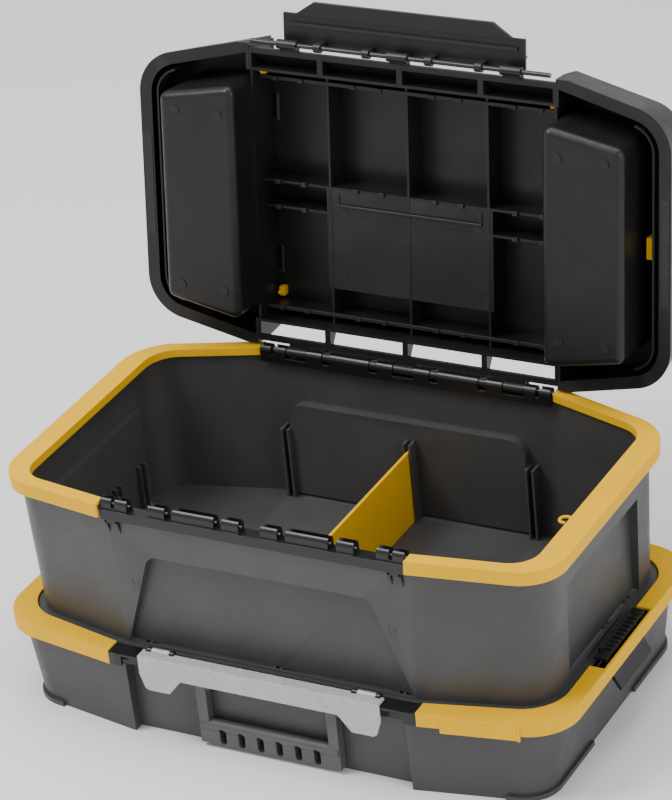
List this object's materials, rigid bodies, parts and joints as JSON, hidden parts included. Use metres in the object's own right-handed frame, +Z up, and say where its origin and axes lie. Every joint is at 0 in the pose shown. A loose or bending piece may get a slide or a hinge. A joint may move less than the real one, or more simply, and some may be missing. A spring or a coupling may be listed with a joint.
{
  "type": "tool box",
  "caption": "Stacked tool box: a deep tub with a two-way lid held open, end rims and divider, clipped on a shallow organizer with a front latch and carry handle.",
  "frame": {"origin": "centre of the organizer's flat base, on the surface it stands on", "axes": "+X along the length to the right end, +Y towards the back, +Z up"},
  "size_m": [0.512, 0.3678, 0.5059],
  "materials": {
    "dark_grey_plastic": "satin, fine texture",
    "black_plastic": "semi-gloss",
    "yellow_plastic": "satin",
    "clear_plastic": "translucent, frosted",
    "steel": "bright drawn rod"
  },
  "bodies": {
    "organizer_base": {"organizer_base": "dark_grey_plastic", "organizer_dividers": "black_plastic", "organizer_hinge_pins": "steel", "carry_handle_pins": "steel"},
    "organizer_lid": {"organizer_lid": "black_plastic", "organizer_rim_left": "yellow_plastic", "organizer_rim_right": "yellow_plastic", "organizer_latch_pins": "steel", "side_latch_pin_left": "steel", "side_latch_pin_right": "steel"},
    "organizer_front_latch": {"organizer_front_latch": "clear_plastic"},
    "carry_handle": {"carry_handle": "dark_grey_plastic"},
    "side_latch_left": {"side_latch_left": "black_plastic"},
    "side_latch_right": {"side_latch_right": "black_plastic"},
    "tub": {"tub_shell": "dark_grey_plastic", "tub_rim_left": "yellow_plastic", "tub_rim_right": "yellow_plastic", "front_hinge_rail": "black_plastic", "rear_hinge_rail": "black_plastic", "rear_rod": "steel"},
    "tub_divider": {"tub_divider": "yellow_plastic"},
    "lid": {"lid_shell": "black_plastic", "front_rod": "steel", "lid_handle_pins": "steel", "cover_pins_left": "steel", "cover_pins_right": "steel"},
    "front_latch": {"front_latch": "black_plastic"},
    "rear_latch": {"rear_latch": "black_plastic"},
    "lid_handle": {"lid_handle": "black_plastic"},
    "cover_left": {"cover_left": "black_plastic"},
    "cover_right": {"cover_right": "black_plastic"}
  },
  "joints": [
    {"name": "organizer_lid_hinge", "type": "hinge", "parent": "organizer_base", "child": "organizer_lid", "pos_m": [0, 0.155, 0.067], "axis": [-1, 0, 0], "range_deg": [0, 75]},
    {"name": "organizer_latch_pivot", "type": "hinge", "parent": "organizer_lid", "child": "organizer_front_latch", "pos_m": [0, -0.1425, 0.0804], "axis": [-1, 0, 0], "range_deg": [0, 90]},
    {"name": "carry_handle_pivot", "type": "hinge", "parent": "organizer_base", "child": "carry_handle", "pos_m": [0, -0.1405, 0.0575], "axis": [-1, 0, 0], "range_deg": [0, 95]},
    {"name": "side_latch_left_pivot", "type": "hinge", "parent": "organizer_lid", "child": "side_latch_left", "pos_m": [-0.2466, 0, 0.071], "axis": [0, -1, 0], "range_deg": [0, 10]},
    {"name": "side_latch_right_pivot", "type": "hinge", "parent": "organizer_lid", "child": "side_latch_right", "pos_m": [0.2466, 0, 0.071], "axis": [0, 1, 0], "range_deg": [0, 10]},
    {"name": "tub_lift", "type": "slide", "parent": "organizer_lid", "child": "tub", "axis": [0, 0, 1], "range_m": [0, 0.15]},
    {"name": "divider_lift", "type": "slide", "parent": "tub", "child": "tub_divider", "axis": [0, 0, 1], "range_m": [0, 0.13]},
    {"name": "lid_hinge", "type": "hinge", "parent": "tub", "child": "lid", "pos_m": [0, 0.1335, 0.208], "axis": [-1, 0, 0], "range_deg": [-98, 0]},
    {"name": "front_latch_pivot", "type": "hinge", "parent": "lid", "child": "front_latch", "pos_m": [0, 0.17066, 0.4724], "axis": [-1, 0, 0], "range_deg": [-90, 0]},
    {"name": "rear_latch_pivot", "type": "hinge", "parent": "tub", "child": "rear_latch", "pos_m": [0, 0.1335, 0.208], "axis": [1, 0, 0], "range_deg": [0, 32]},
    {"name": "lid_handle_pivot", "type": "hinge", "parent": "lid", "child": "lid_handle", "pos_m": [0, 0.18575, 0.33547], "axis": [1, 0, 0], "range_deg": [0, 110]},
    {"name": "cover_left_hinge", "type": "hinge", "parent": "lid", "child": "cover_left", "pos_m": [-0.133, 0.19218, 0.33456], "axis": [0, -0.1392, -0.9903], "range_deg": [0, 110]},
    {"name": "cover_right_hinge", "type": "hinge", "parent": "lid", "child": "cover_right", "pos_m": [0.133, 0.19218, 0.33456], "axis": [0, 0.1392, 0.9903], "range_deg": [0, 110]}
  ]
}
